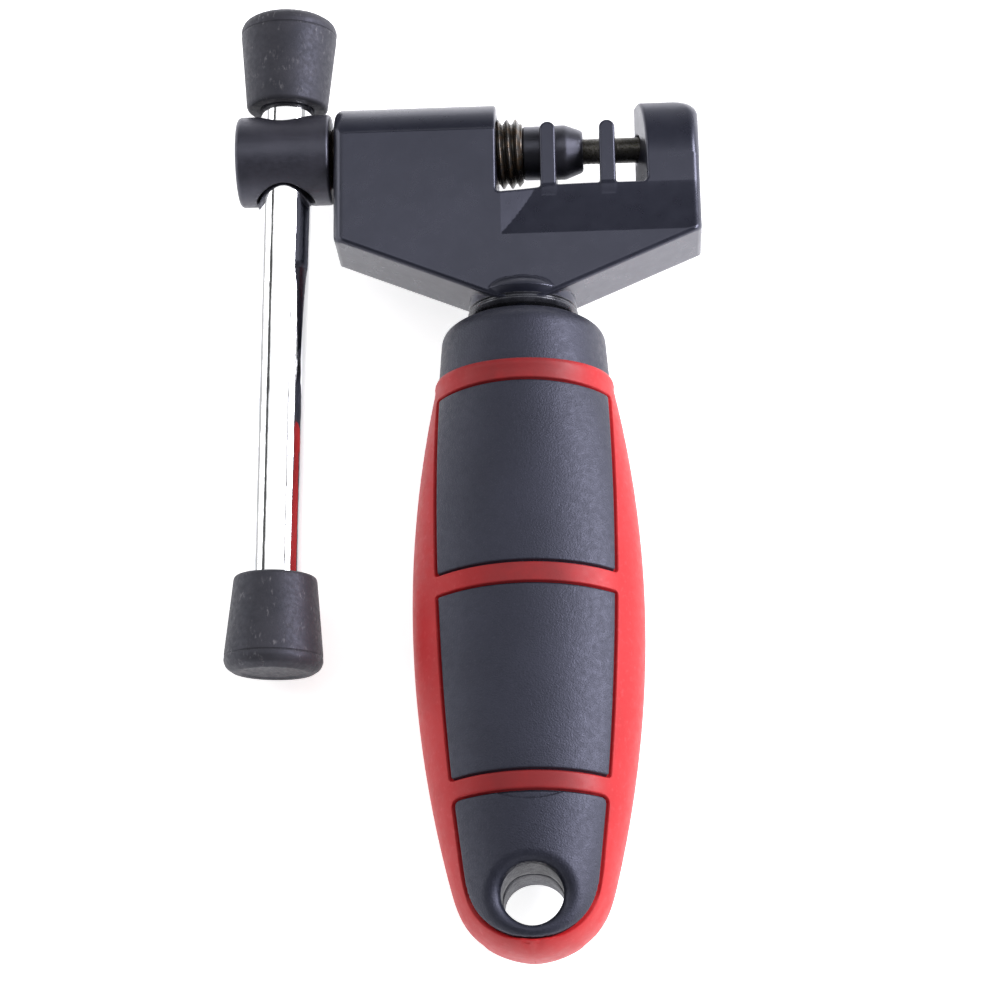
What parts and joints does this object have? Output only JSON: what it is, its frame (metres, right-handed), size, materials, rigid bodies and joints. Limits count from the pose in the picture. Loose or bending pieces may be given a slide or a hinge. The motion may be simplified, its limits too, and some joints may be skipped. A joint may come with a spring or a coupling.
{
  "type": "bicycle chain tool",
  "caption": "Hand-held bicycle chain breaker: cast head with a slotted chain cradle and anvil, driving screw with a push pin, sliding T-bar, and a flat padded handle with a hanging hole.",
  "frame": {"origin": "centre of the footprint of the tool lying on its back, at the surface it lies on", "axes": "+Y from the hanging hole along the handle to the top of the head; +X along the driving screw, from the T-bar to the anvil; +Z out of the front face, up from the surface"},
  "size_m": [0.0678, 0.1368, 0.0232],
  "materials": {
    "head_paint": "satin blue-black paint over a cast head",
    "core_plastic": "fine-grained soft black",
    "sleeve_rubber": "smooth satin red",
    "screw_steel": "black oxide, greased thread",
    "holder_steel": "black oxide",
    "pin_steel": "oiled hardened steel",
    "rod_chrome": "bright chrome",
    "cap_rubber": "matt black, lightly scuffed"
  },
  "bodies": {
    "tool_body": {"head": "head_paint", "front_core": "core_plastic", "back_core": "core_plastic", "grip_sleeve": "sleeve_rubber"},
    "drive_pin": {"push_pin": "pin_steel"},
    "spindle": {"main_screw": "screw_steel", "pin_holder": "holder_steel"},
    "t_bar": {"t_bar_rod": "rod_chrome", "upper_bar_cap": "cap_rubber", "lower_bar_cap": "cap_rubber"}
  },
  "joints": [
    {"name": "pin_feed", "type": "slide", "parent": "tool_body", "child": "drive_pin", "axis": [1, 0, 0], "range_m": [-0.0201, 0]},
    {"name": "spindle_turn", "type": "hinge", "parent": "drive_pin", "child": "spindle", "pos_m": [-0.02508, 0.04688, 0.0116], "axis": [1, 0, 0], "range_deg": [-5760, 0]},
    {"name": "t_bar_slide", "type": "slide", "parent": "spindle", "child": "t_bar", "axis": [0.0262, 0.9976, 0.0648], "range_m": [0, 0.053]}
  ],
  "couplings": [
    {"joint": "pin_feed", "follows": "spindle_turn", "m_per_rad": 0.00019894}
  ]
}
